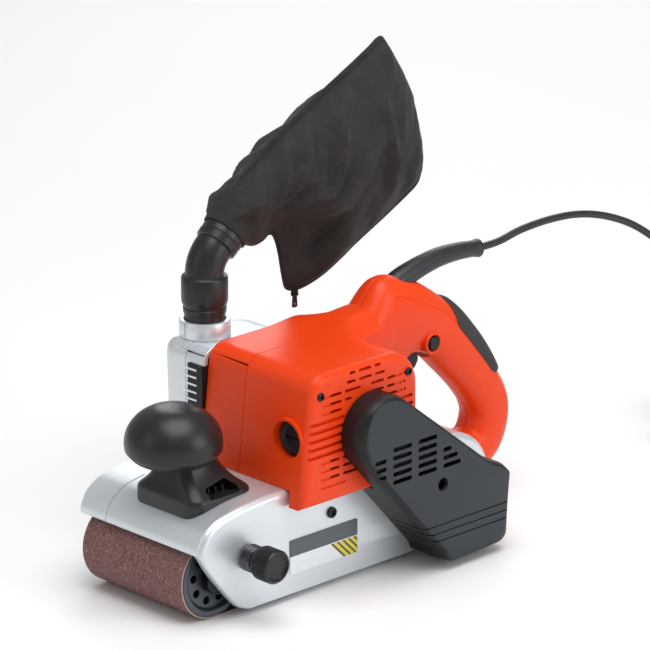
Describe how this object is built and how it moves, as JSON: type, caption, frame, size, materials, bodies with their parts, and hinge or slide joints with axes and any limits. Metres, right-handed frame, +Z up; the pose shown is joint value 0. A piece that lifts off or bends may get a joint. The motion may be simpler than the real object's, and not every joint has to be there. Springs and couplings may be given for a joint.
{
  "type": "handheld belt sander",
  "caption": "Corded handheld belt sander with a wide abrasive belt, rear D handle, round front knob, side drive guard and cloth dust bag.",
  "frame": {"origin": "centre of the belt's flat working face", "axes": "+X towards the rear handle, -X towards the front knob, -Y towards the drive guard side, +Z up from the working face"},
  "size_m": [0.615, 0.176, 0.3361],
  "materials": {
    "silver_paint": "satin silver-grey paint on cast aluminium",
    "orange_plastic": "satin orange-red moulded nylon",
    "black_plastic": "satin black moulded plastic",
    "slate_plastic": "satin slate-grey moulded plastic",
    "rubber": "matt black rubber",
    "cord_rubber": "smooth black cord sheath",
    "abrasive": "red-brown aluminium oxide grit on cloth",
    "cork": "cork and graphite pad",
    "steel": "machined steel",
    "dark_steel": "blackened steel",
    "cast_roller": "dark grey cast aluminium",
    "windings": "varnished copper windings on laminated steel",
    "carbon": "carbon brush block",
    "label": "printed film label with plain stripes",
    "bag_cloth": "dark grey woven polyester",
    "pin_brass": "nickel-plated brass pins"
  },
  "bodies": {
    "frame": {"base_frame": "silver_paint", "cork_pad": "cork", "platen_plate": "steel", "sanding_belt": "abrasive", "side_label": "label", "side_screw": "dark_steel", "motor_housing": "orange_plastic", "housing_screw_front": "dark_steel", "housing_screw_rear": "dark_steel", "stator": "windings", "bearing_near": "steel", "bearing_far": "steel", "brush_front": "carbon", "brush_rear": "carbon", "brush_cap_front": "black_plastic", "brush_cap_rear": "black_plastic", "drive_belt": "rubber", "drive_bearing": "steel", "belt_guard": "slate_plastic", "guard_screw": "dark_steel", "tracking_spring": "dark_steel", "fan_housing": "silver_paint", "fan_grille": "black_plastic", "outlet_collar": "silver_paint", "handle_near": "orange_plastic", "handle_far": "orange_plastic", "grip_pad": "rubber", "switch_body": "black_plastic", "knob_base": "black_plastic", "front_knob": "black_plastic", "knob_bolt": "steel", "cord_sleeve": "rubber", "cord": "cord_rubber", "cord_coil": "cord_rubber", "cord_tie": "black_plastic", "plug_body": "rubber", "plug_pin_left": "pin_brass", "plug_pin_right": "pin_brass"},
    "rotor": {"motor_shaft": "steel", "armature": "windings", "commutator": "windings", "fan": "black_plastic", "motor_pulley": "steel"},
    "countershaft": {"counter_pulley": "black_plastic", "pinion_shaft": "steel"},
    "drive_roller_set": {"drive_gear": "steel", "drive_axle": "steel", "drive_roller": "rubber"},
    "roller_carriage": {"roller_fork": "steel", "front_axle": "steel", "tension_spring": "steel"},
    "front_roller_set": {"front_roller": "cast_roller"},
    "release_lever": {"tension_lever": "black_plastic"},
    "tracking_screw": {"tracking_knob": "black_plastic"},
    "trigger_blade": {"trigger": "black_plastic"},
    "lock_pin": {"lock_button": "black_plastic"},
    "dust_swivel": {"dust_elbow": "black_plastic", "dust_bag": "bag_cloth"},
    "zip_pull": {"zip_puller": "dark_steel"}
  },
  "joints": [
    {"name": "motor_spin", "type": "hinge", "parent": "frame", "child": "rotor", "pos_m": [0.007, 0, 0.113], "axis": [0, 1, 0], "continuous": true},
    {"name": "counter_spin", "type": "hinge", "parent": "frame", "child": "countershaft", "pos_m": [0.092, 0, 0.038], "axis": [0, 1, 0], "continuous": true},
    {"name": "drive_spin", "type": "hinge", "parent": "frame", "child": "drive_roller_set", "pos_m": [0.10852, 0, 0.029], "axis": [0, 1, 0], "continuous": true},
    {"name": "tension_slide", "type": "slide", "parent": "frame", "child": "roller_carriage", "axis": [1, 0, 0], "range_m": [0, 0.008]},
    {"name": "front_spin", "type": "hinge", "parent": "roller_carriage", "child": "front_roller_set", "pos_m": [-0.10852, 0, 0.029], "axis": [0, 1, 0], "continuous": true},
    {"name": "lever_swing", "type": "hinge", "parent": "frame", "child": "release_lever", "pos_m": [0.02, 0.05, 0.029], "axis": [0, 0, 1], "range_deg": [0, 80]},
    {"name": "tracking_turn", "type": "hinge", "parent": "frame", "child": "tracking_screw", "pos_m": [-0.0905, -0.08, 0.043], "axis": [0, -1, 0], "range_deg": [-360, 360]},
    {"name": "trigger_pull", "type": "hinge", "parent": "frame", "child": "trigger_blade", "pos_m": [0.101, -0.005, 0.124], "axis": [0, -1, 0], "range_deg": [0, 7], "stiffness_Nm_per_rad": 0.5, "springref_deg": -11.46},
    {"name": "lock_press", "type": "slide", "parent": "frame", "child": "lock_pin", "axis": [0, 1, 0], "range_m": [0, 0.003], "stiffness_N_per_m": 400, "springref_m": -0.004},
    {"name": "bag_swivel", "type": "hinge", "parent": "frame", "child": "dust_swivel", "pos_m": [-0.0255, 0.048, 0.166], "axis": [0, 0, 1], "range_deg": [0, 180]},
    {"name": "zip_flop", "type": "hinge", "parent": "dust_swivel", "child": "zip_pull", "pos_m": [0.059, 0.048, 0.167], "axis": [0, 1, 0], "range_deg": [-50, 50]}
  ],
  "couplings": [
    {"joint": "counter_spin", "follows": "motor_spin", "ratio": 0.25},
    {"joint": "drive_spin", "follows": "motor_spin", "ratio": -0.18519},
    {"joint": "front_spin", "follows": "motor_spin", "ratio": -0.18519},
    {"joint": "lever_swing", "follows": "tension_slide", "rad_per_m": 174.53}
  ]
}
